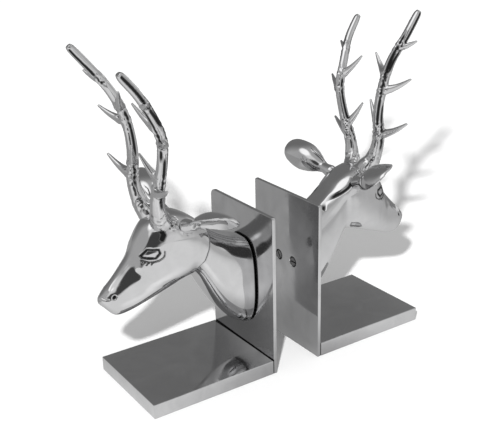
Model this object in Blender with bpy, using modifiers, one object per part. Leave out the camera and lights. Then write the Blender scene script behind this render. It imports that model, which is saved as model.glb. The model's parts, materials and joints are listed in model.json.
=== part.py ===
"""A pair of stag-head book ends in polished cast aluminium.

Each book end is an L of two plates with a head-and-neck casting, two antlers and two ears.  Two
countersunk screws hold the casting to the upright.  The heads face outwards, and books stand
between the two upright plates.

Frame: metres, +Z up, the floor at Z = 0, +X from the left book end to the right one, -Y the front.
Each book end is designed in its own frame, X away from the books, with the book face at X = 0, and
is then turned and moved to its side of the gap.
"""

import math

import bmesh
import bpy
from mathutils import Euler, Matrix, Vector

MM = 0.001

# ---- driving dimensions ---------------------------------------------------------------------------
PLATE_WIDTH = 100 * MM
BASE_LENGTH = 127 * MM          # book face to the free end of the base
BASE_THICKNESS = 13.5 * MM
UPRIGHT_HEIGHT = 152 * MM
UPRIGHT_THICKNESS = 3.5 * MM
TOP_CORNER_RADII = {             # of each upright, at its front and its back
    "left": {"front": 2 * MM, "back": 6 * MM},
    "right": {"front": 2 * MM, "back": 2 * MM},
}
PLATE_EDGE_ROUNDING = 0.5 * MM
BOOK_GAP = 47 * MM              # between the two book faces
FIT_GAP = 0.3 * MM              # between pieces that touch on the real object

# ---- screws (M5, countersunk, slotted) ------------------------------------------------------------
SCREW_HEIGHT = 84.5 * MM
SCREW_SPACING = 22 * MM
SCREW_HEAD_RADIUS = 4.6 * MM
SCREW_HEAD_DEPTH = 2.5 * MM
SCREW_SHANK_RADIUS = 2.5 * MM
SCREW_LENGTH = 20 * MM
SCREW_RECESS = 0.2 * MM         # head below the book face
SLOT_WIDTH = 1.2 * MM
SLOT_DEPTH = 1.0 * MM
SLOT_ANGLES = {"left": (20, -35), "right": (0, 55)}

# ---- head and neck --------------------------------------------------------------------------------
# Rings from the neck's back to the nose, in millimetres: bottom X, bottom Z, top X, top Z, half
# width, and how much fuller the ring is at its top than at its bottom.
NECK_RINGS = [
    (3.8, 39.0, 3.8, 121.0, 21.8, -0.10),
    (4.4, 36.9, 4.4, 123.0, 23.4, -0.10),
    (5.8, 36.0, 5.8, 124.0, 24.2, -0.10),
    (12.0, 38.5, 10.0, 126.0, 24.4, -0.15),
    (21.0, 45.0, 20.0, 130.0, 24.2, -0.20),
    (33.0, 58.5, 31.0, 136.0, 23.6, -0.20),
    (43.0, 74.0, 40.0, 142.0, 22.9, -0.18),
    (51.0, 88.5, 48.0, 148.0, 22.3, -0.14),
    (57.5, 99.5, 55.0, 153.0, 22.0, -0.08),
]
HEAD_RINGS = [
    (63.0, 102.5, 62.0, 157.0, 23.2, 0.00),
    (70.5, 101.0, 70.0, 160.5, 24.3, 0.00),
    (80.0, 97.5, 80.0, 163.0, 23.8, -0.02),
    (91.0, 93.5, 91.0, 161.5, 22.2, -0.05),
    (101.0, 90.0, 101.5, 155.5, 19.6, -0.12),
    (109.5, 87.0, 109.5, 144.5, 17.0, -0.16),
    (117.0, 84.3, 116.0, 131.5, 14.8, -0.14),
    (124.5, 82.0, 125.0, 121.0, 13.0, -0.10),
    (131.0, 81.0, 134.5, 111.3, 11.4, -0.06),
    (135.5, 82.0, 141.5, 104.3, 9.6, 0.00),
    (139.2, 85.5, 145.4, 100.2, 7.4, 0.00),
    (142.6, 89.5, 147.0, 97.2, 4.2, 0.00),
]
HEAD_SQUARENESS = 2.3
RING_POINTS = 24

# ---- antler: a path of (X, Y, Z, radius) in millimetres, on the +Y side of the head ---------------
ANTLER_PEG = [(85.0, 6.5, 150.0, 6.5), (89.5, 10.5, 158.0, 7.8)]
ANTLER_BEAM = [
    (94.2, 15.5, 167.0, 7.0),
    (97.1, 21.2, 186.0, 5.6),
    (93.5, 26.4, 211.0, 4.9),
    (95.2, 32.9, 236.9, 4.6),
    (104.4, 36.7, 259.3, 4.4),
    (118.1, 43.5, 279.8, 4.0),
    (131.0, 46.0, 296.0, 3.7),
    (134.5, 46.6, 300.0, 2.4),
]
# Each tine: root on the beam's centre line, tip, root radius.
TINES = [
    ((111.9, 40.4, 271.2), (119.1, 56.3, 276.3), 4.0),
    ((99.0, 34.0, 247.0), (108.7, 14.3, 265.6), 4.3),
    ((94.7, 32.5, 234.0), (107.5, 57.5, 244.2), 4.6),
    ((94.6, 24.0, 199.0), (103.1, 8.2, 221.5), 4.6),
    ((96.8, 22.0, 190.0), (104.8, 51.7, 202.4), 5.0),
]
TINE_TAPER = (1.0, 0.74, 0.54, 0.37, 0.22)     # radius at even steps from root to tip
TINE_SAG = 0.06                 # of the tine's length, below the straight line to its tip
TINE_SIDES = 8
ANTLER_PIVOT = Vector((91, 10, 162)) * MM
ANTLER_SIDES = 10
ANTLER_STEPS = 3                # rings between one path point and the next
# How each antler was set when it was fixed: small turns about X, Y and Z in degrees, rise in mm.
ANTLER_SETS = {
    "left_antler_front": (-2.5, 2.8, 1.9, -0.4),
    "left_antler_back": (2.4, 0.7, 0.1, 1.4),
    "right_antler_front": (3.8, -4.4, -4.1, 2.9),
    "right_antler_back": (-3.6, 0.0, 1.9, -4.0),
}

# ---- ears -----------------------------------------------------------------------------------------
EAR_ROOT = Vector((70, 21, 152)) * MM
EAR_HALF_WIDTH = 14.5 * MM
EAR_CUP_DEPTH = 6.5 * MM
EAR_THICKNESS = 2.6 * MM
# Ear stem, X and radius: from inside the head, through its flare at the surface, into the leaf.
EAR_STEM = [(-7 * MM, 5.2 * MM), (-1 * MM, 6.8 * MM), (4 * MM, 5.6 * MM), (9 * MM, 4.2 * MM)]
EAR_STEM_SIDES = 12
EAR_LEAF_START = 5 * MM
EAR_ROWS, EAR_COLUMNS = 10, 8
# How each ear was set: its tip on the +Y side in mm, and the roll that turns its cup down.
EAR_SETS = {
    "left_ear_front": ((57, 71, 169), 47),
    "left_ear_back": ((61, 72, 176), 60),
    "right_ear_front": ((63, 72, 176), 60),
    "right_ear_back": ((56, 72, 169), 42),
}

PARTS = "stag_book_ends"
CUTTERS = "cutters"


# ---- scene ----------------------------------------------------------------------------------------
def clear_scene():
    for obj in list(bpy.data.objects):
        bpy.data.objects.remove(obj, do_unlink=True)


def collection(name):
    found = bpy.data.collections.get(name)
    if found is None:
        found = bpy.data.collections.new(name)
        bpy.context.scene.collection.children.link(found)
    return found


def metal(name, colour, roughness):
    material = bpy.data.materials.new(name)
    material.use_nodes = True
    shader = material.node_tree.nodes["Principled BSDF"]
    shader.inputs["Base Color"].default_value = (*colour, 1.0)
    shader.inputs["Metallic"].default_value = 1.0
    shader.inputs["Roughness"].default_value = roughness
    return material


def add_object(name, bm, material=None, cutter=False):
    """Turn a bmesh into a named object, as a part or as a cutter."""
    bmesh.ops.recalc_face_normals(bm, faces=bm.faces)
    if bm.calc_volume(signed=True) < 0:
        bmesh.ops.reverse_faces(bm, faces=bm.faces)
    mesh = bpy.data.meshes.new(name)
    bm.to_mesh(mesh)
    bm.free()
    obj = bpy.data.objects.new(name, mesh)
    collection(CUTTERS if cutter else PARTS).objects.link(obj)
    if cutter:
        obj.hide_render = True
        obj.display_type = "WIRE"
    else:
        mesh.materials.append(material)
        mesh.shade_smooth()
        mesh.set_sharp_from_angle(angle=math.radians(40))
    return obj


def combine(obj, other, operation):
    """Boolean modifier with the exact solver."""
    modifier = obj.modifiers.new(operation.lower() + "_" + other.name, "BOOLEAN")
    modifier.operation = operation
    modifier.solver = "EXACT"
    modifier.object = other


# ---- shape helpers --------------------------------------------------------------------------------
def signed_power(value, power):
    return math.copysign(abs(value) ** power, value)


def ring_points(ring):
    """Points of a superellipse that spans from its bottom point to its top point."""
    bx, bz, tx, tz, half = (value * MM for value in ring[:5])
    fullness = ring[5]
    centre = Vector(((bx + tx) / 2, 0, (bz + tz) / 2))
    up = Vector(((tx - bx) / 2, 0, (tz - bz) / 2))
    points = []
    for i in range(RING_POINTS):
        angle = 2 * math.pi * i / RING_POINTS
        across = signed_power(math.cos(angle), 2 / HEAD_SQUARENESS)
        along = signed_power(math.sin(angle), 2 / HEAD_SQUARENESS)
        width = half * across * (1 + fullness * along)
        points.append(centre + up * along + Vector((0, width, 0)))
    return points


def loft(rings):
    """Closed body through rings of equal point count, with flat ends."""
    bm = bmesh.new()
    rows = [[bm.verts.new(point) for point in ring] for ring in rings]
    count = len(rows[0])
    for lower, upper in zip(rows, rows[1:]):
        for i in range(count):
            j = (i + 1) % count
            bm.faces.new((lower[i], lower[j], upper[j], upper[i]))
    bm.faces.new(rows[0])
    bm.faces.new(rows[-1])
    return bm


def smooth_path(points, steps):
    """Catmull-Rom curve through points of any dimension, with steps between neighbours."""
    padded = [points[0] * 2 - points[1], *points, points[-1] * 2 - points[-2]]
    path = []
    for a, b, c, d in zip(padded, padded[1:], padded[2:], padded[3:]):
        for i in range(steps):
            t = i / steps
            path.append((b * 2 + (c - a) * t + (a * 2 - b * 5 + c * 4 - d) * t ** 2
                         + (b * 3 - a - c * 3 + d) * t ** 3) / 2)
    path.append(points[-1])
    return path


def tube(path, radii, sides):
    """Round bar along a path, its rings turned as little as possible from one to the next."""
    rings = []
    side = Vector((0, 1, 0))
    for i, point in enumerate(path):
        before = path[max(i - 1, 0)]
        after = path[min(i + 1, len(path) - 1)]
        along = (after - before).normalized()
        side = (side - along * side.dot(along)).normalized()
        other = along.cross(side)
        rings.append([point + (side * math.cos(a) + other * math.sin(a)) * radii[i]
                      for a in (2 * math.pi * k / sides for k in range(sides))])
    return loft(rings)


def bar_from_steps(rows, steps, sides):
    """Tube through (X, Y, Z, radius) rows given in millimetres."""
    path = smooth_path([Vector(row) * MM for row in rows], steps)
    return tube([point.to_3d() for point in path], [point[3] for point in path], sides)


def turned_x(profile, sides=32):
    """Solid of revolution about the X axis from (X, radius) points; the ends are closed."""
    rings = []
    for x, radius in profile:
        rings.append([Vector((x, radius * math.cos(a), radius * math.sin(a)))
                      for a in (2 * math.pi * k / sides for k in range(sides))])
    return loft(rings)


def plate(x0, x1, z0, z1, corner_radii=()):
    """Plate across the full width; its top corners at -Y and +Y get the radii given."""
    bm = bmesh.new()
    size = (x1 - x0, PLATE_WIDTH, z1 - z0)
    centre = ((x0 + x1) / 2, 0, (z0 + z1) / 2)
    bmesh.ops.create_cube(bm, size=1, matrix=Matrix.LocRotScale(centre, None, size))
    for way, radius in zip((-1, 1), corner_radii):
        corner = [e for e in bm.edges if all(v.co.z > z1 - MM and v.co.y * way > PLATE_WIDTH / 2 - MM
                                             for v in e.verts)]
        bmesh.ops.bevel(bm, geom=corner, offset=radius, segments=6, profile=0.5, affect="EDGES")
    return bm


def round_edges(obj, width):
    modifier = obj.modifiers.new("edge_rounding", "BEVEL")
    modifier.width = width
    modifier.segments = 2
    modifier.limit_method = "ANGLE"
    modifier.angle_limit = math.radians(50)


# ---- the pieces of one book end, in its own frame -------------------------------------------------
class BookEnd:
    """Builds one book end and places it on its side of the gap."""

    def __init__(self, side, materials):
        self.side = side
        self.materials = materials
        turn = math.pi if side == "left" else 0.0
        sign = -1 if side == "left" else 1
        self.place = Matrix.Translation((sign * BOOK_GAP / 2, 0, 0)) @ Matrix.Rotation(turn, 4, "Z")

    def name(self, piece):
        return f"{self.side}_{piece}"

    def add(self, piece, bm, material=None, cutter=False):
        """Add a piece, or a cutter when no material is given, in its place."""
        bm.transform(self.place)
        return add_object(self.name(piece), bm, self.materials.get(material), cutter)

    def across(self, where):
        """+1 or -1: which way front or back lies along this book end's own Y."""
        front = 1 if self.side == "left" else -1
        return front if where == "front" else -front

    # -- plates --
    def base_plate(self):
        start = UPRIGHT_THICKNESS + FIT_GAP
        base = self.add("base_plate", plate(start, BASE_LENGTH, 0, BASE_THICKNESS), "plate")
        round_edges(base, PLATE_EDGE_ROUNDING)

    def upright_plate(self, screw_holes):
        radii = TOP_CORNER_RADII[self.side]
        low_y_first = sorted(radii, key=self.across)
        bm = plate(0, UPRIGHT_THICKNESS, 0, UPRIGHT_HEIGHT, [radii[where] for where in low_y_first])
        upright = self.add("upright_plate", bm, "plate")
        round_edges(upright, PLATE_EDGE_ROUNDING)
        for hole in screw_holes:
            combine(upright, hole, "DIFFERENCE")

    # -- screws --
    def screw_profile(self, clearance):
        head = SCREW_HEAD_RADIUS + clearance
        shank = SCREW_SHANK_RADIUS + clearance
        return [(SCREW_RECESS, head), (SCREW_RECESS + SCREW_HEAD_DEPTH, shank),
                (SCREW_LENGTH + clearance, shank)]

    def at_screw(self, bm, where, slot_angle=0.0):
        y = self.across(where) * SCREW_SPACING / 2
        bm.transform(Matrix.Rotation(math.radians(slot_angle), 4, "X"))
        bm.transform(Matrix.Translation((0, y, SCREW_HEIGHT)))
        return bm

    def screw_hole(self, where):
        """Cutter for the countersunk clearance hole, open at the book face."""
        profile = self.screw_profile(FIT_GAP)
        profile.insert(0, (-1 * MM, SCREW_HEAD_RADIUS + FIT_GAP))
        return self.add(f"hole_{where}", self.at_screw(turned_x(profile), where), cutter=True)

    def screw(self, where, slot_angle):
        bm = self.at_screw(turned_x(self.screw_profile(0.0)), where)
        screw = self.add(f"screw_{where}", bm, "screw")
        slot = bmesh.new()
        depth = SCREW_RECESS + SLOT_DEPTH
        size = (2 * depth, 3 * SCREW_HEAD_RADIUS, SLOT_WIDTH)
        bmesh.ops.create_cube(slot, size=1, matrix=Matrix.LocRotScale(None, None, size))
        cutter = self.add(f"slot_{where}", self.at_screw(slot, where, slot_angle), cutter=True)
        combine(screw, cutter, "DIFFERENCE")

    # -- head --
    def head(self, cutters):
        """Neck and head in one loft; its flat back stands against the upright."""
        rings = [ring_points(ring) for ring in NECK_RINGS + HEAD_RINGS]
        head = self.add("stag_head", loft(rings), "casting")
        for cutter in cutters:
            combine(head, cutter, "DIFFERENCE")

    # -- antlers --
    def set_antler(self, bm, where):
        """Turn an antler by its set angles, then move it to its side of the head."""
        rx, ry, rz, rise = ANTLER_SETS[self.name(f"antler_{where}")]
        turn = Euler([math.radians(a) for a in (rx, ry, rz)]).to_matrix().to_4x4()
        lift = Matrix.Translation((0, 0, rise * MM))
        pivot = Matrix.Translation(ANTLER_PIVOT)
        bm.transform(lift @ pivot @ turn @ pivot.inverted())
        bm.transform(Matrix.Diagonal((1, self.across(where), 1, 1)))
        return bm

    def antler_socket(self, where):
        rows = [Vector(row) + Vector((0, 0, 0, FIT_GAP / MM)) for row in ANTLER_PEG + ANTLER_BEAM[:2]]
        below = (rows[0] - rows[1]).to_3d().normalized() * FIT_GAP / MM
        rows[0] += below.to_4d() - Vector((0, 0, 0, 1))
        bm = bar_from_steps(rows, ANTLER_STEPS, ANTLER_SIDES)
        return self.add(f"socket_{where}", self.set_antler(bm, where), cutter=True)

    def antler(self, where):
        bar = bar_from_steps(ANTLER_PEG + ANTLER_BEAM, ANTLER_STEPS, ANTLER_SIDES)
        antler = self.add(f"antler_{where}", self.set_antler(bar, where), "casting")
        for number, (root, tip, radius) in enumerate(TINES, start=1):
            a, b = Vector(root) * MM, Vector(tip) * MM
            sag = Vector((0, 0, (b - a).length * TINE_SAG))
            shares = [i / (len(TINE_TAPER) - 1) for i in range(len(TINE_TAPER))]
            path = [a.lerp(b, share) - sag * math.sin(math.pi * share) for share in shares]
            radii = [radius * MM * taper for taper in TINE_TAPER]
            tine = self.set_antler(tube(path, radii, TINE_SIDES), where)
            cutter = self.add(f"tine_{where}_{number}", tine, cutter=True)
            combine(antler, cutter, "UNION")

    # -- ears --
    def ear_place(self, where):
        """The ear's length, and its own frame: X along it, Y its cupped face, Z its width."""
        side = self.across(where)
        flip = Matrix.Diagonal((1, side, 1))
        tip, roll = EAR_SETS[self.name(f"ear_{where}")]
        root = flip @ EAR_ROOT
        reach = flip @ Vector(tip) * MM - root
        along = reach.normalized()
        face = (Vector((1, 0, 0)) - along * along.x).normalized()
        turn = Matrix((along, face, along.cross(face))).transposed().to_4x4()
        roll = Matrix.Rotation(math.radians(roll) * side, 4, "X")
        return reach.length, Matrix.Translation(root) @ turn @ roll

    def ear_stem(self, where, clearance):
        path = [Vector((x, 0, 0)) for x, radius in EAR_STEM]
        path[0].x -= clearance
        stem = tube(path, [radius + clearance for x, radius in EAR_STEM], EAR_STEM_SIDES)
        stem.transform(self.ear_place(where)[1])
        return stem

    def ear_socket(self, where):
        return self.add(f"ear_socket_{where}", self.ear_stem(where, FIT_GAP), cutter=True)

    def ear(self, where):
        """Cupped leaf of even thickness, with a round stem."""
        bm = bmesh.new()
        length, place = self.ear_place(where)
        grid = []
        for i in range(EAR_ROWS + 1):
            share = i / EAR_ROWS
            swell = math.sin(math.pi * min(0.08 + 0.9 * share, 1.0) ** 0.8) ** 0.75
            half = EAR_HALF_WIDTH * max(swell, 0.08)
            cup = EAR_CUP_DEPTH * math.sin(math.pi * (0.15 + 0.7 * share))
            row = []
            for j in range(EAR_COLUMNS + 1):
                across = 2 * j / EAR_COLUMNS - 1
                x = EAR_LEAF_START + (length - EAR_LEAF_START) * share
                row.append(bm.verts.new(Vector((x, cup * (across ** 2 - 0.5), half * across))))
            grid.append(row)
        for low, high in zip(grid, grid[1:]):
            for j in range(EAR_COLUMNS):
                bm.faces.new((low[j], low[j + 1], high[j + 1], high[j]))
        bm.transform(place)
        ear = self.add(f"ear_{where}", bm, "casting")
        wall = ear.modifiers.new("wall", "SOLIDIFY")
        wall.thickness = EAR_THICKNESS
        wall.offset = 0.0
        stem = self.add(f"ear_stem_{where}", self.ear_stem(where, 0.0), cutter=True)
        combine(ear, stem, "UNION")

    def build(self):
        sides = ("front", "back")
        holes = [self.screw_hole(where) for where in sides]
        sockets = [self.antler_socket(where) for where in sides]
        sockets += [self.ear_socket(where) for where in sides]
        self.base_plate()
        self.upright_plate(holes)
        self.head(holes + sockets)
        for where, angle in zip(sides, SLOT_ANGLES[self.side]):
            self.antler(where)
            self.ear(where)
            self.screw(where, angle)


def main():
    clear_scene()
    materials = {
        "plate": metal("polished_plate", (0.72, 0.72, 0.73), 0.08),
        "casting": metal("polished_casting", (0.80, 0.80, 0.81), 0.10),
        "screw": metal("screw_steel", (0.45, 0.45, 0.46), 0.30),
    }
    for side in ("left", "right"):
        BookEnd(side, materials).build()


main()
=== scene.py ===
# %% [markdown]
# # A pair of stag-head book ends
#
# Each book end is two polished plates, an upright and a base, with a cast stag's head and neck
# screwed to the upright.  Two antlers and two ears are fixed into the head.  This notebook takes the
# working model of the pair and gives it its looks: smooth dense castings in place of the plain
# solids, hand-polished metal, a pale floor and a room to mirror.

# %% Load the working model
import json
import math

import bpy
import numpy as np
from mathutils import Euler, Matrix, Vector, kdtree, noise

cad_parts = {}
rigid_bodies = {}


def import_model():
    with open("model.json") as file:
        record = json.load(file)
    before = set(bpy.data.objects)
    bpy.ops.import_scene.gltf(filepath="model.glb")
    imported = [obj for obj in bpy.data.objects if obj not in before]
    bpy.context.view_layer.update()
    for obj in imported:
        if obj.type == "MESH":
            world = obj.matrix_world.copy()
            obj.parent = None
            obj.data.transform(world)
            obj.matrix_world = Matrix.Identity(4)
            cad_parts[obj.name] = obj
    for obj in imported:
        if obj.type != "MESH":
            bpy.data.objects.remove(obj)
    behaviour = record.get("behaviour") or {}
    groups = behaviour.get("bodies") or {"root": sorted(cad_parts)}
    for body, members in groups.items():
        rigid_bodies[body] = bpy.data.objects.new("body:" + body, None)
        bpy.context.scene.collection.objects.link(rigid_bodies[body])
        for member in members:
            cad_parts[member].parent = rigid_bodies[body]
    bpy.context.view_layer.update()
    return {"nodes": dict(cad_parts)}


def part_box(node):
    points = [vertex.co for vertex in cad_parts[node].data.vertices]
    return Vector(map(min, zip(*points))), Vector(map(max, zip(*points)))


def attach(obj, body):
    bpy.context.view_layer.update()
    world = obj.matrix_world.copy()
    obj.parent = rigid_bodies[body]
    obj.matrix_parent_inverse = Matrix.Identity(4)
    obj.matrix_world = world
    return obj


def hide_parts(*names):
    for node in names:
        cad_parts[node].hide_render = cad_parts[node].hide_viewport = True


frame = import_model()
MM = 0.001
SIDES = ("left", "right")
print("nodes in the frame:", len(frame["nodes"]))

# %% [markdown]
# ## Camera
#
# The camera stands to the left of the pair and looks down on it.  Turning it in three steps, first
# round the vertical, then down, then a touch of roll, is easier to follow than one set of angles.

# %% Set the camera
CAMERA_PLACE = Vector((-0.4318, -0.6193, 0.4254))
CAMERA_HEADING, CAMERA_DIP, CAMERA_ROLL = (math.radians(a) for a in (-33.92, 21.10, -1.17))
bpy.ops.object.camera_add(location=CAMERA_PLACE)
camera = bpy.context.object
turn = (Matrix.Rotation(CAMERA_HEADING, 3, "Z")
        @ Matrix.Rotation(math.radians(90) - CAMERA_DIP, 3, "X")
        @ Matrix.Rotation(CAMERA_ROLL, 3, "Z"))
camera.rotation_euler = turn.to_euler()
camera.data.lens = 63.16
bpy.context.scene.camera = camera
bpy.context.scene.view_settings.view_transform = "Standard"
print("camera at", tuple(round(v, 3) for v in camera.location))

# %% [markdown]
# ## Small tools
#
# Operators act on everything that is selected, so each new piece starts from an empty selection.
# A finished piece keeps its place in its mesh, and its object stays at the origin.

# %% Tools for starting and finishing a piece
def start_fresh():
    """Leave nothing selected, and be in object mode."""
    if bpy.context.object and bpy.context.object.mode != "OBJECT":
        bpy.ops.object.mode_set(mode="OBJECT")
    bpy.ops.object.select_all(action="DESELECT")


def only(piece):
    start_fresh()
    piece.select_set(True)
    bpy.context.view_layer.objects.active = piece


def settle(piece):
    """Put the piece's place, turn and size into its mesh."""
    only(piece)
    bpy.ops.object.transform_apply(location=True, rotation=True, scale=True)


def modify(piece, kind, **values):
    """Add a modifier, set it and apply it."""
    only(piece)
    modifier = piece.modifiers.new(kind.lower(), kind)
    for key, value in values.items():
        setattr(modifier, key, value)
    bpy.ops.object.modifier_apply(modifier=modifier.name)


def mend(piece, gap=0.00001):
    """Merge doubled points, close holes and point every face outwards."""
    only(piece)
    bpy.ops.object.mode_set(mode="EDIT")
    bpy.ops.mesh.select_all(action="SELECT")
    bpy.ops.mesh.remove_doubles(threshold=gap)
    bpy.ops.mesh.fill_holes(sides=0)
    bpy.ops.mesh.select_all(action="SELECT")
    bpy.ops.mesh.normals_make_consistent(inside=False)
    bpy.ops.object.mode_set(mode="OBJECT")


def place_copy(source, name, place):
    """A copy of a piece with its own mesh, moved and turned by a matrix."""
    copy = bpy.data.objects.new(name, source.data.copy())
    bpy.context.collection.objects.link(copy)
    copy.data.transform(place)
    if place.determinant() < 0:
        copy.data.flip_normals()
    return copy


def hand_over(piece, body, slot, *nodes):
    """Let a piece ride on its body and stand for CAD nodes."""
    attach(piece, body)
    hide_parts(*nodes)
    print(f"{piece.name}: {len(piece.data.vertices)} points")


# %% [markdown]
# ## Where each book end stands
#
# Both book ends are one design.  It is easiest to model it in its own frame, with X running away
# from the books and the book face at X = 0, and then to set it on its side of the gap.  The gap
# comes from the working model.

# %% Places of the two book ends
half_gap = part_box("right_upright_plate")[0].x
PLACES = {
    "left": Matrix.Translation((-half_gap, 0, 0)) @ Matrix.Rotation(math.pi, 4, "Z"),
    "right": Matrix.Translation((half_gap, 0, 0)),
}
NEAR_SIDE = {"left": 1, "right": -1}        # which way the front lies along the design's own Y


def across(side, where):
    return NEAR_SIDE[side] if where == "front" else -NEAR_SIDE[side]


print("book faces at", round(-half_gap, 4), round(half_gap, 4))

# %% [markdown]
# ## Head and neck
#
# The casting is a long tapering form, so it is made like a tube of sheet: a flat grid is rolled up,
# and each row of the grid becomes one ring round the neck, the cheeks or the muzzle.  The rings are
# few, and a smooth curve through their sizes gives all the rows between them.

# %% The rings, from the neck's back to the nose
# In millimetres: bottom X, bottom Z, top X, top Z, half width, fuller top, and how square the upper
# and the lower half are.
HEAD_RINGS = np.array([
    (3.8, 39.0, 3.8, 119.0, 21.8, -0.04, 3.2, 2.4),
    (4.4, 36.9, 4.4, 121.0, 23.4, -0.04, 3.2, 2.4),
    (5.8, 36.0, 5.8, 122.0, 24.2, -0.04, 3.2, 2.4),
    (12.0, 38.5, 10.0, 123.5, 24.2, -0.06, 3.3, 2.4),
    (21.0, 45.0, 20.0, 127.0, 23.8, -0.08, 3.4, 2.4),
    (33.0, 58.5, 31.0, 132.5, 23.2, -0.08, 3.4, 2.4),
    (43.0, 74.0, 40.0, 138.5, 22.6, -0.08, 3.2, 2.4),
    (51.0, 88.5, 48.0, 145.0, 22.2, -0.06, 3.0, 2.4),
    (57.5, 99.5, 55.0, 151.5, 22.0, -0.04, 2.8, 2.5),
    (63.0, 102.0, 62.0, 156.5, 23.2, 0.00, 2.7, 2.6),
    (70.5, 100.8, 70.0, 160.5, 24.3, 0.00, 2.7, 2.7),
    (80.0, 97.5, 80.0, 163.0, 23.8, -0.02, 2.7, 2.8),
    (91.0, 93.5, 91.0, 161.5, 22.2, -0.05, 2.6, 2.8),
    (101.0, 90.0, 101.5, 155.5, 19.6, -0.12, 2.4, 2.8),
    (109.5, 87.0, 109.5, 144.5, 17.0, -0.16, 2.3, 2.8),
    (117.0, 84.3, 116.0, 131.5, 14.8, -0.14, 2.2, 2.8),
    (124.5, 82.0, 125.0, 121.0, 13.0, -0.10, 2.2, 2.7),
    (131.0, 81.0, 134.5, 111.3, 11.4, -0.06, 2.2, 2.6),
    (135.5, 82.0, 141.5, 104.3, 9.6, 0.00, 2.2, 2.4),
    (139.2, 85.5, 145.4, 100.2, 7.4, 0.00, 2.1, 2.2),
    (142.6, 89.5, 147.0, 97.2, 4.2, 0.00, 2.0, 2.0),
    (145.6, 92.6, 147.2, 94.8, 1.0, 0.00, 2.0, 2.0),
])
RINGS_BETWEEN = 14
POINTS_ROUND = 280


def curve_through(rows, steps):
    """Smooth curve through rows of numbers, with steps from one row to the next."""
    rows = np.asarray(rows, dtype=float)
    padded = np.vstack([2 * rows[0] - rows[1], rows, 2 * rows[-1] - rows[-2]])
    smooth = []
    for a, b, c, d in zip(padded, padded[1:], padded[2:], padded[3:]):
        for t in np.arange(steps) / steps:
            smooth.append((2 * b + (c - a) * t + (2 * a - 5 * b + 4 * c - d) * t ** 2
                           + (3 * b - a - 3 * c + d) * t ** 3) / 2)
    return np.array(smooth + [rows[-1]])


def ring_point(row, angle):
    """One point of a rounded, slightly square ring."""
    bx, bz, tx, tz, half, fuller, square_above, square_below = row
    square = square_above if math.sin(angle) > 0 else square_below
    across_, along = (math.copysign(abs(v) ** (2 / square), v)
                      for v in (math.cos(angle), math.sin(angle)))
    return Vector(((bx + tx) / 2 + (tx - bx) / 2 * along,
                   half * across_ * (1 + fuller * along),
                   (bz + tz) / 2 + (tz - bz) / 2 * along)) * MM


# %% Roll a grid up into the head
start_fresh()
head_rows = curve_through(HEAD_RINGS, RINGS_BETWEEN)
bpy.ops.mesh.primitive_grid_add(x_subdivisions=len(head_rows) - 1, y_subdivisions=POINTS_ROUND, size=2)
head = bpy.context.object
head.name = "head_form"
for vertex in head.data.vertices:
    row = round((vertex.co.x + 1) / 2 * (len(head_rows) - 1))
    vertex.co = ring_point(head_rows[row], math.pi * vertex.co.y)
mend(head)
bpy.ops.object.shade_smooth()
print("head form:", len(head.data.vertices), "points")

# %% [markdown]
# ## Chasing the head
#
# After casting, a metal worker cuts the eye, the brow and the mouth with small punches and files.
# The same is done here with strokes: each stroke has a line in the side view, a width and a height,
# and moves the surface along its own normal.  Below zero it cuts, above zero it raises.  Cuts can also
# get painted shade, which blackens them, and an attribute on the points remembers where.

# %% Stroke tools
def read_points(piece):
    count = len(piece.data.vertices)
    points, normals = np.empty(count * 3), np.empty(count * 3)
    piece.data.vertices.foreach_get("co", points)
    piece.data.vertices.foreach_get("normal", normals)
    return points.reshape(-1, 3) / MM, normals.reshape(-1, 3)


def write_points(piece, points):
    piece.data.vertices.foreach_set("co", (points * MM).ravel())
    piece.data.update()


# Painted shade: a point attribute that blackens the metal, and roughens it a little.
def add_painted_shade(piece, amount):
    layer = piece.data.attributes.get("residue")
    if layer is None:
        layer = piece.data.attributes.new("residue", "FLOAT", "POINT")
    held = np.empty(len(piece.data.vertices))
    layer.data.foreach_get("value", held)
    layer.data.foreach_set("value", np.clip(np.maximum(held, amount), 0, 1))


def distance_to(points, line):
    """Shortest distance from each point to a line of straight runs."""
    best = np.full(len(points), np.inf)
    for a, b in zip(np.array(line, dtype=float), np.array(line[1:], dtype=float)):
        run = b - a
        share = np.clip((points - a) @ run / (run @ run), 0, 1)
        best = np.minimum(best, np.linalg.norm(points - a - share[:, None] * run, axis=1))
    return best


def falloff(distance, width):
    share = np.clip(1 - distance / width, 0, 1)
    return share * share * (3 - 2 * share)


def stroke(piece, line, width, height, residue=0.0):
    """Move both cheeks of the head along one line of the side view, with painted shade if given."""
    points, normals = read_points(piece)
    strength = falloff(distance_to(points[:, [0, 2]], line), width)
    strength *= np.clip(np.abs(normals[:, 1]) * 3 - 0.6, 0, 1)
    write_points(piece, points + normals * (strength * height)[:, None])
    add_painted_shade(piece, strength * residue)


def rough_patch(piece, centre, width, height, grain, residue=0.0):
    """Small lumps of filler metal round a joint, with painted shade in their dips if given."""
    points, normals = read_points(piece)
    near = points * (1, 0, 1) + np.abs(points) * (0, 1, 0)
    strength = falloff(np.linalg.norm(near - np.array(centre), axis=1), width)
    for i in np.flatnonzero(strength > 0.01):
        lump = noise.noise(Vector(points[i]) / grain) + 0.5 * noise.noise(Vector(points[i]) * 2 / grain)
        strength[i] *= lump
    write_points(piece, points + normals * (strength * height)[:, None])
    add_painted_shade(piece, np.clip(-strength * 2, 0, 1) * residue)


# %% [markdown]
# The two heads are the same casting, but they were finished by hand and don't match.  The left one
# has a stepped cheek edge.  On the right one the cheek runs straight into the neck, and a line is cut
# under the top of the neck instead.

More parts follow.
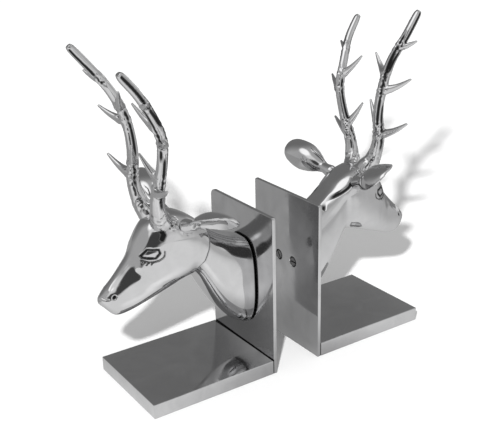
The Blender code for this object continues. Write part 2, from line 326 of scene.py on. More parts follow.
# %% Cheek edge on the left head, neck line on the right head
forms = {"left": head, "right": place_copy(head, "right_head_form", Matrix.Identity(4))}
CHEEK_EDGE = np.array([(67.0, 106), (64.1, 111), (55.8, 117), (51.4, 126), (49.0, 135),
                       (49.3, 140), (51, 148)])
CHEEK_STEP = 1.7
points, normals = read_points(forms["left"])
edge_x = np.interp(points[:, 2], CHEEK_EDGE[:, 1], CHEEK_EDGE[:, 0])
ahead = points[:, 0] - edge_x
step = np.clip(ahead / 2.4 + 0.5, 0, 1)
step = step * step * (3 - 2 * step) * np.exp(-np.clip(ahead, 0, None) / 24)
step *= np.clip((points[:, 2] - 103) / 6, 0, 1) * np.clip((150 - points[:, 2]) / 8, 0, 1)
write_points(forms["left"], points + normals * (CHEEK_STEP * step)[:, None])
# Painted shade: a dark line along the foot of the step.
add_painted_shade(forms["left"], np.exp(-((ahead + 0.9) / 0.7) ** 2) * (points[:, 2] > 108)
            * (points[:, 2] < 146) * 0.7)

NECK_LINE = [(67, 154), (62, 149), (55, 144.3), (47, 141), (41, 139), (37, 136.5), (34, 131)]
# The cut line is blackened with painted shade.
stroke(forms["right"], curve_through(NECK_LINE, 6), 2.3, -1.2, residue=1.3)
print("edge and line cut")

# %% Brow, muzzle, eye, nostril and mouth
MUZZLE_HOLLOW = curve_through([(134, 108.5), (126, 113.5), (117.5, 118)], 6)
MUZZLE_RIDGE = curve_through([(139.5, 106.5), (131.5, 117), (122.5, 127.2), (116.5, 132.5)], 6)
FOREHEAD_RIDGE = curve_through([(116.5, 132.5), (105.5, 142), (101, 150.5), (99, 156)], 6)
BROW = [(93.4, 152.8), (91.8, 148.6), (94.0, 145.4)]
EYE = [(111.2, 132.5), (106.2, 137.7), (97.7, 137.2), (97.1, 134.2), (101.0, 130.2), (110.0, 131.3),
       (111.2, 132.5)]
LOWER_LID = curve_through([(93.2, 135.0), (93.7, 131.5), (96.5, 129.1), (100.3, 127.7), (105.8, 127.4),
                           (111.0, 129.2)], 6)
LASHES = [(110.8, 127.5), (107.6, 126.4), (104.4, 126.1)]
# Painted shade blackens the brow, the eye, the lower lid, the lashes, the nostril and the mouth.
for form in forms.values():
    stroke(form, MUZZLE_HOLLOW, 7.0, -0.7)
    stroke(form, MUZZLE_RIDGE, 2.4, 0.6)
    stroke(form, FOREHEAD_RIDGE, 5.0, 0.4)
    stroke(form, BROW, 3.0, -0.1, residue=2.4)
    stroke(form, [(106, 134.3), (101, 134.6)], 5.0, 0.2)
    stroke(form, EYE, 1.35, -0.5, residue=2.4)
    stroke(form, LOWER_LID, 1.0, -0.6, residue=1.5)
    for x, z in LASHES:
        stroke(form, [(x, z), (x + 0.4, z - 0.7)], 0.9, -0.5, residue=1.2)
    stroke(form, [(136.8, 100.2), (136.2, 101.0)], 2.1, -2.0, residue=1.5)
    stroke(form, [(146.0, 100.7), (140.8, 98.9)], 0.9, -0.5, residue=0.6)
stroke(forms["right"], EYE, 1.6, -0.3, residue=2.4)
print("brow, muzzle, eye, nostril and mouth cut")

# %% [markdown]
# Painted shade blackens the back end of the neck, in the narrow gap next to the upright, and the
# antlers and ears were fixed with filler metal that was left lumpy, with painted shade in its dips.

# %% Painted shade behind the neck, filler metal round the antler and ear roots
NECK_SHADE_DEPTH = 5.4
for side, form in forms.items():
    points, normals = read_points(form)
    add_painted_shade(form, np.clip((NECK_SHADE_DEPTH + 0.6 - points[:, 0]) / 0.6, 0, 1))
    rough_patch(form, (92, 15, 161), 13, 1.8, 3.0, residue=1.0)
    rough_patch(form, (82, 18, 157), 9, 1.8, 2.2, residue=1.3)
    rough_patch(form, (71, 21, 151), 10, 1.2, 3.5, residue=0.8)
    casting = place_copy(form, f"{side}_head_casting", PLACES[side])
    hand_over(casting, f"{side}_book_end", "polished_casting", f"{side}_stag_head")

# %% [markdown]
# ## Antlers
#
# An antler is one long beam with five tines.  Each is a curve with a round section that thins
# towards its tip.  Joining them and remeshing the lot at a fine size welds the tines to the beam, and
# a little smoothing leaves the soft fillets of a casting.

# %% One antler
ANTLER_PEG = [(85.0, 6.5, 150.0, 9.0), (89.5, 10.5, 158.0, 10.0)]
ANTLER_BEAM = [
    (94.2, 15.5, 167.0, 7.3),
    (97.1, 21.2, 186.0, 5.6),
    (93.5, 26.4, 211.0, 4.9),
    (95.2, 32.9, 236.9, 4.6),
    (104.4, 36.7, 259.3, 4.4),
    (118.1, 43.5, 279.8, 4.0),
    (131.0, 46.0, 296.0, 3.7),
    (134.5, 46.6, 300.0, 2.4),
]
# Each tine: root on the beam's centre line, tip, root radius.
TINES = [
    ((111.9, 40.4, 271.2), (119.1, 56.3, 276.3), 4.3),
    ((99.0, 34.0, 247.0), (108.7, 14.3, 265.6), 4.7),
    ((94.7, 32.5, 234.0), (107.5, 57.5, 244.2), 5.0),
    ((94.6, 24.0, 199.0), (103.1, 8.2, 221.5), 5.0),
    ((96.8, 22.0, 190.0), (104.8, 51.7, 202.4), 5.4),
]
TINE_SHAPE = [(0.0, 0.0, 1.0), (0.25, 0.7, 0.76), (0.5, 1.0, 0.56), (0.75, 0.7, 0.40), (1.0, 0.0, 0.22)]
ANTLER_MESH_SIZE = 0.5 * MM
# Each flute: angle round the beam in degrees, how much it winds, first and last step along the beam.
FLUTES = [(95, 0.25, 2.3, 4.6), (-80, 0.3, 2.6, 5.5), (20, -0.3, 4.2, 6.7), (150, 0.2, 3.4, 7.2),
          (-60, 0.2, 6.2, 8.6), (100, -0.2, 5.4, 8.8)]


def rod(rows):
    """Round rod along (X, Y, Z, radius) rows in millimetres, as a mesh."""
    start_fresh()
    bpy.ops.curve.primitive_nurbs_path_add()
    curve = bpy.context.object
    curve.data.splines.clear()
    spline = curve.data.splines.new("POLY")
    spline.points.add(len(rows) - 1)
    for point, (x, y, z, radius) in zip(spline.points, rows):
        point.co = (x * MM, y * MM, z * MM, 1)
        point.radius = radius
    curve.data.dimensions = "3D"
    curve.data.bevel_depth = 1 * MM
    curve.data.bevel_resolution = 6
    curve.data.use_fill_caps = True
    bpy.ops.object.convert(target="MESH")
    return bpy.context.object


def tine_rows(root, tip, radius):
    """A tine sags a little below the straight line to its tip, and thins along it."""
    root, tip = np.array(root), np.array(tip)
    sag = np.linalg.norm(tip - root) * 0.06
    rows = [(*(root + (tip - root) * share - (0, 0, sag * droop)), radius * thin)
            for share, droop, thin in TINE_SHAPE]
    return curve_through(rows, 3)


def weld(pieces, size):
    """Join pieces and remesh them into one closed body."""
    start_fresh()
    for piece in pieces:
        piece.select_set(True)
    bpy.context.view_layer.objects.active = pieces[0]
    bpy.ops.object.join()
    body = bpy.context.object
    body.data.remesh_voxel_size = size
    bpy.ops.object.voxel_remesh()
    modify(body, "SMOOTH", factor=0.5, iterations=16)
    return body


beam = curve_through(ANTLER_PEG + ANTLER_BEAM, 5)
antler = weld([rod(beam)] + [rod(tine_rows(*tine)) for tine in TINES], ANTLER_MESH_SIZE)
antler.name = "antler_form"
bpy.ops.object.shade_smooth()
print("antler:", len(antler.data.vertices), "points")

# %% [markdown]
# The beam isn't smooth: long flutes run along it, and it swells into a rough knuckle where each tine
# leaves.  Every point of the mesh is measured against the beam's centre line, which tells how far
# along and how far round it lies, and that is all a flute needs.

# %% Flutes and knuckles
FLUTE_DEPTH = 0.8
FLUTE_HALF_ANGLE = 0.62
fine_beam = curve_through(ANTLER_PEG + ANTLER_BEAM, 60)
tree = kdtree.KDTree(len(fine_beam))
for i, row in enumerate(fine_beam):
    tree.insert(row[:3], i)
tree.balance()
points, normals = read_points(antler)
found = [tree.find(point) for point in points]
nearest = np.array([index for place, index, distance in found])
distance = np.array([distance for place, index, distance in found])
outwards = points - fine_beam[nearest, :3]
round_angle = np.arctan2(outwards[:, 1], outwards[:, 0])
along = nearest / 60
on_beam = np.clip((1.5 - distance / fine_beam[nearest, 3]) * 2, 0, 1) * np.clip(along - 2, 0, 1)
lift = np.zeros(len(points))
for angle, twist, start, end in FLUTES:
    off_line = round_angle - math.radians(angle) - twist * np.sin(along)
    off_line = (off_line + math.pi) % (2 * math.pi) - math.pi
    groove = falloff(np.abs(off_line), FLUTE_HALF_ANGLE)
    groove *= np.clip((along - start) * 3, 0, 1) * np.clip((end - along) * 3, 0, 1)
    lift -= FLUTE_DEPTH * groove * on_beam
for root, tip, radius in TINES:
    knuckle = falloff(np.linalg.norm(points - np.array(root), axis=1), 2.5 * radius)
    lift += 0.3 * knuckle
    for i in np.flatnonzero(knuckle > 0.05):
        lift[i] += 1.0 * knuckle[i] * noise.noise(Vector(points[i]) / 2.6)
burr = falloff(np.linalg.norm(points - np.array(ANTLER_BEAM[0][:3]), axis=1), 14)
for i in np.flatnonzero(burr > 0.02):
    lift[i] += 1.4 * burr[i] * noise.noise(Vector(points[i]) / 3.2)
write_points(antler, points + normals * lift[:, None])
# Painted shade: the metal is blackened deep in the flutes and dents.
add_painted_shade(antler, np.clip(-2.6 * lift - 0.4, 0, 1))
modify(antler, "SMOOTH", factor=0.5, iterations=3)
print("deepest flute:", round(float(-lift.min()), 2), "mm")

# %% Set the four antlers
# Small turns about X, Y and Z in degrees and a rise in mm: no two were fixed quite alike.
ANTLER_PIVOT = Vector((91, 10, 162)) * MM
ANTLER_SETS = {
    "left_antler_front": (-2.5, 2.8, 1.9, -0.4),
    "left_antler_back": (2.4, 0.7, 0.1, 1.4),
    "right_antler_front": (3.8, -4.4, -4.1, 2.9),
    "right_antler_back": (-3.6, 0.0, 1.9, -4.0),
}
for side in SIDES:
    for where in ("front", "back"):
        node = f"{side}_antler_{where}"
        rx, ry, rz, rise = ANTLER_SETS[node]
        pivot = Matrix.Translation(ANTLER_PIVOT)
        set_turn = Euler([math.radians(a) for a in (rx, ry, rz)]).to_matrix().to_4x4()
        set_place = Matrix.Translation((0, 0, rise * MM)) @ pivot @ set_turn @ pivot.inverted()
        mirror = Matrix.Diagonal((1, across(side, where), 1, 1))
        piece = place_copy(antler, f"{node}_casting", PLACES[side] @ mirror @ set_place)
        hand_over(piece, f"{side}_book_end", "polished_casting", node)

# %% [markdown]
# ## Ears
#
# An ear is a leaf that is cupped along its length, on a short stem.  It starts as a flat grid drawn
# into a leaf's outline, gets its wall from Solidify, and is welded to its stem.

# %% One ear, along X, cupped towards +Y
EAR_LENGTH, EAR_HALF_WIDTH, EAR_CUP, EAR_WALL = 56.0, 13.5, 10.5, 2.4
LEAF_START = 5.0
EAR_CURL = 1.15      # half the angle that the leaf bends through, in radians
EAR_OUTLINE = [(0.0, 0.30), (0.12, 0.44), (0.28, 0.74), (0.45, 0.95), (0.6, 1.0), (0.75, 0.93),
               (0.87, 0.80), (0.95, 0.58), (1.0, 0.24)]
start_fresh()
bpy.ops.mesh.primitive_grid_add(x_subdivisions=48, y_subdivisions=24, size=2)
leaf = bpy.context.object
outline = curve_through(EAR_OUTLINE, 6)
for vertex in leaf.data.vertices:
    share, side_way = (vertex.co.x + 1) / 2, vertex.co.y
    half = EAR_HALF_WIDTH * np.interp(share, outline[:, 0], outline[:, 1])
    depth = EAR_CUP * math.sin(math.pi * (0.18 + 0.68 * share)) * half / EAR_HALF_WIDTH
    curl = EAR_CURL * side_way
    vertex.co = Vector((LEAF_START + (EAR_LENGTH - LEAF_START) * share,
                        -depth * math.cos(curl) / (1 - math.cos(EAR_CURL)) + depth * 0.9,
                        half * math.sin(curl) / math.sin(EAR_CURL))) * MM
modify(leaf, "SOLIDIFY", thickness=EAR_WALL * MM, offset=0.0)
stem = rod([(-7, 0, 0, 5.2), (-1, 0, 0, 6.8), (4, 0, 0, 5.6), (9, 0, 0, 4.4), (14, -0.8, 0, 2.6)])
ear = weld([leaf, stem], 0.6 * MM)
ear.name = "ear_form"
bpy.ops.object.shade_smooth()
points, normals = read_points(ear)
inside = np.clip(normals[:, 1] * 2, 0, 1)
folds = falloff(distance_to(points[:, [0, 2]], [(11, 2), (22, 6.5), (36, 9.0)]), 1.8)
folds += falloff(distance_to(points[:, [0, 2]], [(11, -2), (20, -6.0), (31, -7.5)]), 1.6)
write_points(ear, points - normals * (0.9 * folds * inside)[:, None])
# Painted shade darkens the folds inside the cup.
add_painted_shade(ear, folds * inside * 0.6)
print("ear:", len(ear.data.vertices), "points")

# %% Set the four ears
EAR_ROOT = Vector((70, 21, 152)) * MM
# Tip in millimetres, roll in degrees, and how wide each ear was beaten out.
EAR_SETS = {
    "left_ear_front": ((57, 71, 169), 66, 1.2),
    "left_ear_back": ((61, 72, 176), 60, 1.0),
    "right_ear_front": ((62, 69, 175), 60, 1.15),
    "right_ear_back": ((56, 72, 169), 42, 1.0),
}
for side in SIDES:
    for where in ("front", "back"):
        node = f"{side}_ear_{where}"
        tip, roll, width = EAR_SETS[node]
        way = across(side, where)
        flip = Matrix.Diagonal((1, way, 1))
        root = flip @ EAR_ROOT
        reach = flip @ Vector(tip) * MM - root
        length_way = reach.normalized()
        face = (Vector((1, 0, 0)) - length_way * length_way.x).normalized()
        axes = Matrix((length_way, face, length_way.cross(face))).transposed().to_4x4()
        stretch = Matrix.Diagonal((reach.length / (EAR_LENGTH * MM), 1, width, 1))
        set_place = (Matrix.Translation(root) @ axes
                     @ Matrix.Rotation(math.radians(roll) * way, 4, "X") @ stretch)
        piece = place_copy(ear, f"{node}_casting", PLACES[side] @ set_place)
        hand_over(piece, f"{side}_book_end", "polished_casting", node)

for form in (*forms.values(), antler, ear):
    bpy.data.objects.remove(form, do_unlink=True)

# %% [markdown]
# ## Plates
#
# The plates are flat stock with softly rounded edges.  A cube is set to the size of the plate, the
# top corners are rounded with a bevel in edit mode, and a Bevel modifier takes the sharpness off
# every edge.  The two countersunk holes are cut last.

# %% Make the plates
EDGE_ROUNDING = 0.7 * MM
CORNER_RADII = {("left", "front"): 2 * MM, ("left", "back"): 6 * MM,
                ("right", "front"): 2 * MM, ("right", "back"): 2 * MM}
SCREW_CLEARANCE = 0.8 * MM
SINK_MOUTH, SINK_FOOT, SINK_DEPTH = 1.1, 0.6, 3.2 * MM     # mouth and foot as shares of the radius
HOLE_LENGTH = 12 * MM


def plate(name, node):
    """A cube at the size and place of a CAD plate."""
    low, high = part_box(node)
    start_fresh()
    bpy.ops.mesh.primitive_cube_add(size=1, location=(low + high) / 2, scale=high - low)
    piece = bpy.context.object
    piece.name = name
    settle(piece)
    return piece


def round_top_corner(piece, where, radius):
    """Bevel the front or the back top corner of an upright."""
    only(piece)
    top = max(vertex.co.z for vertex in piece.data.vertices)
    way = -1 if where == "front" else 1
    bpy.ops.object.mode_set(mode="EDIT")
    bpy.ops.mesh.select_mode(type="EDGE")
    bpy.ops.mesh.select_all(action="DESELECT")
    bpy.ops.object.mode_set(mode="OBJECT")
    for edge in piece.data.edges:
        ends = [piece.data.vertices[i].co for i in edge.vertices]
        edge.select = all(end.z > top - 0.1 * MM and end.y * way > 49 * MM for end in ends)
    bpy.ops.object.mode_set(mode="EDIT")
    bpy.ops.mesh.bevel(offset=radius, segments=10, affect="EDGES")
    bpy.ops.object.mode_set(mode="OBJECT")


def cut_countersinks(piece, side):
    """Cut a countersunk hole round each screw, a little wider than the screw."""
    for where in ("front", "back"):
        low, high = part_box(f"{side}_screw_{where}")
        middle = (low + high) / 2
        radius = (high.z - low.z) / 2 + SCREW_CLEARANCE
        outside = 1 if side == "right" else -1
        face = outside * half_gap
        start_fresh()
        bpy.ops.mesh.primitive_cone_add(vertices=48, radius1=radius * SINK_MOUTH,
                                        radius2=radius * SINK_FOOT, depth=SINK_DEPTH,
                                        location=(0, 0, 0))
        cone = bpy.context.object
        cone.data.transform(Matrix.Translation((face + outside * 1.0 * MM, middle.y, middle.z))
                            @ Matrix.Rotation(outside * math.pi / 2, 4, "Y"))
        bpy.ops.mesh.primitive_cylinder_add(vertices=48, radius=radius * SINK_FOOT,
                                            depth=HOLE_LENGTH)
        hole = bpy.context.object
        hole.data.transform(Matrix.Translation((face, middle.y, middle.z))
                            @ Matrix.Rotation(math.pi / 2, 4, "Y"))
        for cutter in (cone, hole):
            modify(piece, "BOOLEAN", operation="DIFFERENCE", object=cutter, solver="EXACT")
            bpy.data.objects.remove(cutter, do_unlink=True)
        # Painted shade: the sunk cone round the screw is blackened.
        points, normals = read_points(piece)
        away = np.hypot(points[:, 1] - middle.y / MM, points[:, 2] - middle.z / MM)
        sunk = np.abs(points[:, 0]) - half_gap / MM
        add_painted_shade(piece, (away < 1.2 * radius / MM) & (sunk > 0.2) & (sunk < 2.8))


for side in SIDES:
    upright = plate(f"{side}_upright", f"{side}_upright_plate")
    for where in ("front", "back"):
        round_top_corner(upright, where, CORNER_RADII[side, where])
    base = plate(f"{side}_base", f"{side}_base_plate")
    for piece, node in ((upright, "upright_plate"), (base, "base_plate")):
        modify(piece, "BEVEL", width=EDGE_ROUNDING, segments=4, limit_method="ANGLE",
               angle_limit=math.radians(40))
        if piece is upright:
            cut_countersinks(upright, side)
        only(piece)
        bpy.ops.object.shade_smooth_by_angle(angle=math.radians(35))
        hand_over(piece, f"{side}_book_end", "polished_plate", f"{side}_{node}")

# %% [markdown]
# ## Metal
#
# All of it is bare metal, so colour comes almost only from what it mirrors.  What makes it look real
# is the hand polish: broad, very shallow waves that bend the reflections, a cloudy haze, and fine
# hair lines.  One node group holds these, and each material gives it its own values.  The group
# also passes on the painted shade that blackens cuts, gaps and hollows.

# %% The hand-polish group
def new_group(name, inputs, outputs):
    group = bpy.data.node_groups.new(name, "ShaderNodeTree")
    for socket, value in inputs.items():
        made = group.interface.new_socket(name=socket, in_out="INPUT", socket_type="NodeSocketFloat")
        made.default_value = value
    for socket in outputs:
        group.interface.new_socket(name=socket, in_out="OUTPUT", socket_type="NodeSocketFloat")
    return group, group.nodes.new("NodeGroupInput"), group.nodes.new("NodeGroupOutput")


polish, given, result = new_group(
    "hand_polish", {"Wave size": 30.0, "Haze size": 60.0, "Line size": 900.0},
    ("Waves", "Haze", "Lines", "Residue"))
nodes, links = polish.nodes, polish.links
place = nodes.new("ShaderNodeTexCoord")


def noise_node(scale_socket, detail, distortion=0.0, stretch=None):
    texture = nodes.new("ShaderNodeTexNoise")
    texture.inputs["Detail"].default_value = detail
    texture.inputs["Distortion"].default_value = distortion
    links.new(scale_socket, texture.inputs["Scale"])
    source = place.outputs["Object"]
    if stretch:
        mapping = nodes.new("ShaderNodeMapping")
        mapping.inputs["Scale"].default_value = stretch
        mapping.inputs["Rotation"].default_value = (0.3, 0.5, 0.2)
        links.new(source, mapping.inputs["Vector"])
        source = mapping.outputs["Vector"]
    links.new(source, texture.inputs["Vector"])
    return texture.outputs["Fac"]


links.new(noise_node(given.outputs["Wave size"], 1.5, 0.4), result.inputs["Waves"])
links.new(noise_node(given.outputs["Haze size"], 4.0, 0.8), result.inputs["Haze"])
links.new(noise_node(given.outputs["Line size"], 3.0, 0.0, (0.05, 1.0, 1.0)), result.inputs["Lines"])
# The painted shade of cuts, gaps and hollows is read from the points.
shade_attribute = nodes.new("ShaderNodeAttribute")
shade_attribute.attribute_name = "residue"
links.new(shade_attribute.outputs["Fac"], result.inputs["Residue"])
print("hand polish group:", len(nodes), "nodes")


# %% Metals made with it
def polished_metal(name, bright, dull, roughness, haze, waves, lines, sizes):
    """Metal whose colour, gloss and waves come from the hand-polish group."""
    material = bpy.data.materials.new(name)
    material.use_nodes = True
    tree = material.node_tree
    shader = tree.nodes["Principled BSDF"]
    shader.inputs["Metallic"].default_value = 1.0
    effect = tree.nodes.new("ShaderNodeGroup")
    effect.node_tree = polish
    for socket, value in zip(("Wave size", "Haze size", "Line size"), sizes):
        effect.inputs[socket].default_value = value

    tint = tree.nodes.new("ShaderNodeMix")
    tint.data_type = "RGBA"
    tint.inputs["A"].default_value = (*bright, 1)
    tint.inputs["B"].default_value = (*dull, 1)
    tree.links.new(effect.outputs["Haze"], tint.inputs["Factor"])
    # Painted shade: the metal turns near black where the points carry it.
    dark = tree.nodes.new("ShaderNodeMix")
    dark.data_type = "RGBA"
    dark.inputs["B"].default_value = (0.03, 0.03, 0.03, 1)
    tree.links.new(effect.outputs["Residue"], dark.inputs["Factor"])
    tree.links.new(tint.outputs["Result"], dark.inputs["A"])
    tree.links.new(dark.outputs["Result"], shader.inputs["Base Color"])

    gloss = tree.nodes.new("ShaderNodeMapRange")
    gloss.inputs["From Min"].default_value = 0.35
    gloss.inputs["From Max"].default_value = 0.7
    gloss.inputs["To Min"].default_value = roughness
    gloss.inputs["To Max"].default_value = roughness + haze
    tree.links.new(effect.outputs["Haze"], gloss.inputs["Value"])
    rough = tree.nodes.new("ShaderNodeMath")
    rough.operation = "MULTIPLY_ADD"
    rough.inputs[1].default_value = 0.4
    tree.links.new(effect.outputs["Residue"], rough.inputs[0])
    tree.links.new(gloss.outputs["Result"], rough.inputs[2])
    tree.links.new(rough.outputs["Value"], shader.inputs["Roughness"])

    normal = None
    for output, strength in (("Waves", waves), ("Lines", lines)):
        bump = tree.nodes.new("ShaderNodeBump")
        bump.inputs["Strength"].default_value = 1.0
        bump.inputs["Distance"].default_value = strength
        tree.links.new(effect.outputs[output], bump.inputs["Height"])
        if normal:
            tree.links.new(normal, bump.inputs["Normal"])
        normal = bump.outputs["Normal"]
    tree.links.new(normal, shader.inputs["Normal"])
    return material


plate_metal = polished_metal("hand polished plate", (0.68, 0.68, 0.685), (0.48, 0.48, 0.485),
                             0.045, 0.16, 0.00012, 0.000002, (22, 38, 700))
casting_metal = polished_metal("hand polished casting", (0.68, 0.68, 0.685), (0.56, 0.56, 0.565),
                               0.05, 0.07, 0.00010, 0.000001, (30, 60, 900))
screw_metal = polished_metal("dull screw steel", (0.34, 0.34, 0.345), (0.18, 0.18, 0.18),
                             0.25, 0.15, 0.00005, 0.00001, (300, 500, 1500))
METALS = {"casting": casting_metal, "upright": plate_metal, "base": plate_metal}
for piece in bpy.data.objects:
    if piece.type == "MESH" and piece.name.split("_")[-1] in METALS:
        piece.data.materials.clear()
        piece.data.materials.append(METALS[piece.name.split("_")[-1]])


def folded_place(tree):
    """The place on a piece with its signs dropped, so that one rule serves all four corners."""
    spot_on = tree.nodes.new("ShaderNodeTexCoord")
    folded = tree.nodes.new("ShaderNodeVectorMath")
    folded.operation = "ABSOLUTE"
    tree.links.new(spot_on.outputs["Object"], folded.inputs[0])
    return folded.outputs["Vector"]


def darken(tree, mask):
    """Paint shade on a metal: blacken it where a mask is 1."""
    shade_mix = tree.nodes.new("ShaderNodeMix")
    shade_mix.data_type = "RGBA"
    shade_mix.inputs["B"].default_value = (0.02, 0.02, 0.02, 1)
    colour = tree.nodes["Principled BSDF"].inputs["Base Color"]
    tree.links.new(mask, shade_mix.inputs["Factor"])
    tree.links.new(colour.links[0].from_socket, shade_mix.inputs["A"])
    tree.links.new(shade_mix.outputs["Result"], colour)


# Painted shade blackens the corner where the upright meets the base, but not at its ends.
SEAM_WIDTH, SEAM_END = 0.45 * MM, 54.5 * MM
SEAM_OFFSET, SEAM_TOP = 3.65 * MM, 14.5 * MM
tree = plate_metal.node_tree
parts = tree.nodes.new("ShaderNodeSeparateXYZ")
tree.links.new(folded_place(tree), parts.inputs["Vector"])
at_seam = tree.nodes.new("ShaderNodeMath")
at_seam.operation = "COMPARE"
at_seam.inputs[1].default_value, at_seam.inputs[2].default_value = half_gap + SEAM_OFFSET, SEAM_WIDTH
tree.links.new(parts.outputs["X"], at_seam.inputs[0])
inside_ends = tree.nodes.new("ShaderNodeMath")
inside_ends.operation = "LESS_THAN"
inside_ends.inputs[1].default_value = SEAM_END
tree.links.new(parts.outputs["Y"], inside_ends.inputs[0])
low_down = tree.nodes.new("ShaderNodeMath")
low_down.operation = "LESS_THAN"
low_down.inputs[1].default_value = SEAM_TOP
tree.links.new(parts.outputs["Z"], low_down.inputs[0])
seam_shade_mask = at_seam.outputs["Value"]
for limit in (inside_ends, low_down):
    both = tree.nodes.new("ShaderNodeMath")
    both.operation = "MULTIPLY"
    tree.links.new(seam_shade_mask, both.inputs[0])
    tree.links.new(limit.outputs["Value"], both.inputs[1])
    seam_shade_mask = both.outputs["Value"]
darken(tree, seam_shade_mask)

# Painted shade: a screw's gloss ends at a painted dark rim, and its slot is painted dark.  Both are
# found from the place on it.
SCREW_PLACE = (half_gap, 0.011, 0.0845)
RIM_START, RIM_END = 3.6 * MM, 4.3 * MM
SLOT_START, SLOT_END = 0.3 * MM, 0.7 * MM
tree = screw_metal.node_tree
from_axis = tree.nodes.new("ShaderNodeVectorMath")
from_axis.operation = "SUBTRACT"
from_axis.inputs[1].default_value = SCREW_PLACE
tree.links.new(folded_place(tree), from_axis.inputs[0])
flat = tree.nodes.new("ShaderNodeVectorMath")
flat.operation = "MULTIPLY"
flat.inputs[1].default_value = (0, 1, 1)
tree.links.new(from_axis.outputs["Vector"], flat.inputs[0])
radius = tree.nodes.new("ShaderNodeVectorMath")
radius.operation = "LENGTH"
tree.links.new(flat.outputs["Vector"], radius.inputs[0])
depth = tree.nodes.new("ShaderNodeSeparateXYZ")
tree.links.new(from_axis.outputs["Vector"], depth.inputs["Vector"])
rim = tree.nodes.new("ShaderNodeMapRange")
rim.inputs["From Min"].default_value, rim.inputs["From Max"].default_value = RIM_START, RIM_END
tree.links.new(radius.outputs["Value"], rim.inputs["Value"])
deep = tree.nodes.new("ShaderNodeMapRange")
deep.inputs["From Min"].default_value, deep.inputs["From Max"].default_value = SLOT_START, SLOT_END
tree.links.new(depth.outputs["X"], deep.inputs["Value"])
either = tree.nodes.new("ShaderNodeMath")
either.operation = "MAXIMUM"
tree.links.new(rim.outputs["Result"], either.inputs[0])
tree.links.new(deep.outputs["Result"], either.inputs[1])
darken(tree, either.outputs["Value"])

for name, node in frame["nodes"].items():
    if "screw" in name:
        node.data.materials.clear()
        node.data.materials.append(screw_metal)
print("metals:", [m.name for m in (plate_metal, casting_metal, screw_metal)])

# %% [markdown]
# ## Floor and light
#
# Polished metal shows the room, so the room is part of the finish.  The floor is white paper, lit by
# one small lamp from the front left and by plain air.  Mirrors don't show that lit paper.  They show
# a glow of its own on the floor, brightest in front and darker behind, towards the right and close to
# the pair.  They also show lighter and darker patches in the air, which light nothing else and give
# the castings their bright bands and their crisp dark shapes.

# %% The floor
FLOOR_DEPTH_FADE = (-0.10, 0.20, 0.95, 0.42)     # along Y, from the front to the back: place, level
FLOOR_SIDE_FADE = (0.05, 0.50, 1.0, 0.62)       # along X, towards the right
FLOOR_SPOTS = [((0.0, 0.0), 0.02, 0.15, 0.42), ((-0.10, -0.16), 0.02, 0.08, 1.2)]
start_fresh()
bpy.ops.mesh.primitive_plane_add(size=24, location=(0, 0, -0.0002))
floor = bpy.context.object
floor.name = "floor"
settle(floor)
paper = bpy.data.materials.new("white paper")
paper.use_nodes = True
tree = paper.node_tree
matte = tree.nodes["Principled BSDF"]
matte.inputs["Base Color"].default_value = (0.88, 0.88, 0.88, 1)
matte.inputs["Roughness"].default_value = 1.0
matte.inputs["Specular IOR Level"].default_value = 0.0
seen = tree.nodes.new("ShaderNodeLightPath")
glow = tree.nodes.new("ShaderNodeEmission")
where_on = tree.nodes.new("ShaderNodeTexCoord")
axes_of = tree.nodes.new("ShaderNodeSeparateXYZ")


def fade(tree, source, start, end, level_at_start, level_at_end):
    """A smooth step from one level to another as the source goes from start to end."""
    step = tree.nodes.new("ShaderNodeMapRange")
    step.interpolation_type = "SMOOTHSTEP"
    for socket, value in zip(("From Min", "From Max", "To Min", "To Max"),
                             (start, end, level_at_start, level_at_end)):
        step.inputs[socket].default_value = value
    tree.links.new(source, step.inputs["Value"])
    return step.outputs["Result"]


def times(tree, first, second):
    product = tree.nodes.new("ShaderNodeMath")
    product.operation = "MULTIPLY"
    tree.links.new(first, product.inputs[0])
    tree.links.new(second, product.inputs[1])
    return product.outputs["Value"]


def spot(tree, source, centre, inner, outer, level):
    """Level inside a round spot, 1 outside it."""
    away = tree.nodes.new("ShaderNodeVectorMath")
    away.operation = "DISTANCE"
    away.inputs[1].default_value = (*centre, 0)
    tree.links.new(source, away.inputs[0])
    return fade(tree, away.outputs["Value"], inner, outer, level, 1.0)


tree.links.new(where_on.outputs["Object"], axes_of.inputs["Vector"])
level = fade(tree, axes_of.outputs["Y"], *FLOOR_DEPTH_FADE)
level = times(tree, level, fade(tree, axes_of.outputs["X"], *FLOOR_SIDE_FADE))
for spot_values in FLOOR_SPOTS:
    level = times(tree, level, spot(tree, where_on.outputs["Object"], *spot_values))
tree.links.new(level, glow.inputs["Strength"])
choose = tree.nodes.new("ShaderNodeMixShader")
tree.links.new(seen.outputs["Is Glossy Ray"], choose.inputs["Fac"])
tree.links.new(matte.outputs["BSDF"], choose.inputs[1])
tree.links.new(glow.outputs["Emission"], choose.inputs[2])
tree.links.new(choose.outputs["Shader"], tree.nodes["Material Output"].inputs["Surface"])
floor.data.materials.append(paper)

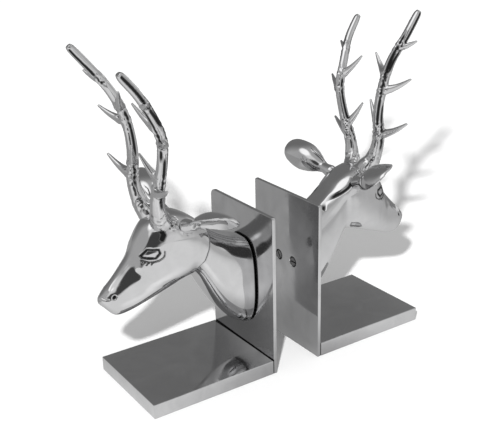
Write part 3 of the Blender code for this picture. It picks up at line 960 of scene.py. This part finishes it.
# %% The air
# Compass way and height of each patch of air in degrees, its core and its reach, and its brightness.
AIR_LEVEL = 0.52
AIR_PATCHES = [
    (12, 28, 26, 62, 0.21),
    (75, 6, 8, 24, 0.85),
    (160, 8, 20, 48, 0.72),
    (178, 6, 8, 18, 0.88),
    (-125, 46, 10, 22, 0.95),
    (-92, 63, 14, 27, 1.5),
    (-142, 17, 15, 24, 0.07),
    (105, 62, 6, 13, 1.5),
    (130, 62, 5, 12, 0.12),
]
PAPER_LIGHT = 0.54
world = bpy.data.worlds.new("studio air")
world.use_nodes = True
tree = world.node_tree
air = tree.nodes["Background"]
looking = tree.nodes.new("ShaderNodeTexCoord")
level = tree.nodes.new("ShaderNodeValue").outputs["Value"]
level.default_value = AIR_LEVEL
for compass, height, core, reach, brightness in AIR_PATCHES:
    compass, height = math.radians(compass), math.radians(height)
    facing = tree.nodes.new("ShaderNodeVectorMath")
    facing.operation = "DOT_PRODUCT"
    facing.inputs[1].default_value = (math.cos(height) * math.sin(compass),
                                      math.cos(height) * math.cos(compass), math.sin(height))
    tree.links.new(looking.outputs["Generated"], facing.inputs[0])
    share = fade(tree, facing.outputs["Value"], math.cos(math.radians(reach)),
                 math.cos(math.radians(core)), 0.0, 1.0)
    blend = tree.nodes.new("ShaderNodeMix")
    blend.inputs["B"].default_value = brightness
    tree.links.new(share, blend.inputs["Factor"])
    tree.links.new(level, blend.inputs["A"])
    level = blend.outputs["Result"]
mirrored = tree.nodes.new("ShaderNodeLightPath")
split = tree.nodes.new("ShaderNodeMix")
split.inputs["A"].default_value = PAPER_LIGHT
tree.links.new(mirrored.outputs["Is Glossy Ray"], split.inputs["Factor"])
tree.links.new(level, split.inputs["B"])
tree.links.new(split.outputs["Result"], air.inputs["Strength"])
air.inputs["Color"].default_value = (1, 1, 1, 1)
bpy.context.scene.world = world
print("patches of air:", len(AIR_PATCHES))

# %% The lamp
# The lamp is near, so its shadows spread.  Its strength grows towards the sides, which keeps the
# paper evenly bright all over.
LAMP_PLACE = (-0.61, -0.68, 0.725)
LAMP_STRENGTH = 28.0
LAMP_RADIUS = 0.022
start_fresh()
bpy.ops.object.light_add(type="POINT", location=LAMP_PLACE)
lamp = bpy.context.object
lamp.data.shadow_soft_size = LAMP_RADIUS
lamp.data.energy = 1.0
lamp.visible_glossy = False
lamp.data.use_nodes = True
tree = lamp.data.node_tree
leaving = tree.nodes.new("ShaderNodeTexCoord")
downward = tree.nodes.new("ShaderNodeSeparateXYZ")
tree.links.new(leaving.outputs["Normal"], downward.inputs["Vector"])
steepness = tree.nodes.new("ShaderNodeMath")
steepness.operation = "ABSOLUTE"
tree.links.new(downward.outputs["Z"], steepness.inputs[0])
strength = tree.nodes.new("ShaderNodeMath")
strength.operation = "DIVIDE"
strength.inputs[0].default_value = LAMP_STRENGTH
tree.links.new(steepness.outputs["Value"], strength.inputs[1])
steady = tree.nodes.new("ShaderNodeLightFalloff")
tree.links.new(strength.outputs["Value"], steady.inputs["Strength"])
tree.links.new(steady.outputs["Constant"], tree.nodes["Emission"].inputs["Strength"])
print("lamp at", LAMP_PLACE)
